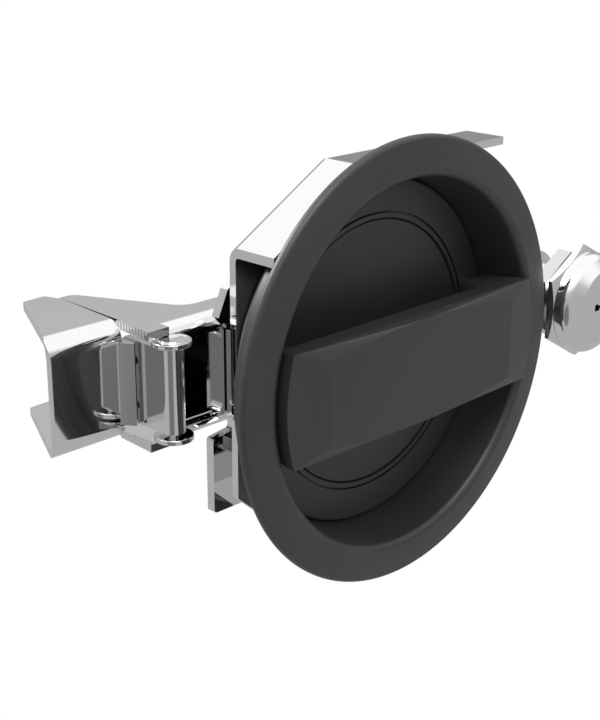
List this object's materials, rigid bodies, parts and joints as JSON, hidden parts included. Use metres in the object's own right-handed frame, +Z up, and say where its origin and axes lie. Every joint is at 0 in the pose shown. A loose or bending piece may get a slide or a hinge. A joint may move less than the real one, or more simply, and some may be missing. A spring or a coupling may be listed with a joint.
{
  "type": "flush cam latch",
  "caption": "Round flush door latch with a turning grip bar in a black cup, a plated toothed cam arm behind the door and a key lock beside the cup.",
  "frame": {"origin": "on the spindle axis, in the plane where the back of the rim seats on the door skin; the back face of the grip bar lies in the same plane", "axes": "+X towards the key lock, +Y into the door, +Z up with the handle at rest and the tongue pointing to -X"},
  "size_m": [0.1951, 0.0882, 0.13],
  "materials": {
    "cup_plastic": "moulded, satin",
    "seal_rubber": "matt",
    "bright_plate": "bright plated sheet steel",
    "lock_chrome": "polished",
    "screw_steel": "zinc plated",
    "plain_steel": "turned",
    "bush_brass": "turned",
    "drag_plastic": "smooth"
  },
  "bodies": {
    "frame": {"flush_cup": "cup_plastic", "rim_gasket": "seal_rubber", "mounting_bracket": "bright_plate", "cup_screws": "screw_steel", "cup_nuts": "screw_steel", "spindle_bush": "bush_brass", "friction_washer": "drag_plastic", "stop_pins": "plain_steel", "rear_plate": "bright_plate", "spacer_posts": "screw_steel", "plate_screws": "screw_steel", "lock_housing": "lock_chrome", "lock_collar": "lock_chrome", "lock_gasket": "seal_rubber", "lock_nut": "screw_steel", "slide_guides": "plain_steel"},
    "handle": {"rotor_disc": "cup_plastic", "centre_cover": "cup_plastic", "handle_bar": "cup_plastic", "handle_screws": "screw_steel", "spindle": "plain_steel", "stop_hub": "plain_steel", "rear_bush": "bush_brass", "cam_arm": "bright_plate", "pin_strap": "bright_plate", "upright_pin": "screw_steel", "tongue": "bright_plate", "clamp_bar": "plain_steel", "clamp_screws": "screw_steel", "spindle_washer": "screw_steel", "spindle_nut": "screw_steel"},
    "plug": {"key_plug": "lock_chrome", "lock_cam": "plain_steel", "cam_screw": "screw_steel"},
    "slide": {"lock_slide": "bright_plate"}
  },
  "joints": [
    {"name": "handle_turn", "type": "hinge", "parent": "frame", "child": "handle", "pos_m": [0, 0, 0], "axis": [0, 1, 0], "range_deg": [0, 90]},
    {"name": "key_turn", "type": "hinge", "parent": "frame", "child": "plug", "pos_m": [0.0875, 0, 0], "axis": [0, 1, 0], "range_deg": [0, 90]},
    {"name": "slide_throw", "type": "slide", "parent": "frame", "child": "slide", "axis": [-1, 0, 0], "range_m": [0, 0.00707]}
  ],
  "couplings": [
    {"joint": "key_turn", "follows": "slide_throw", "rad_per_m": 222.14}
  ]
}
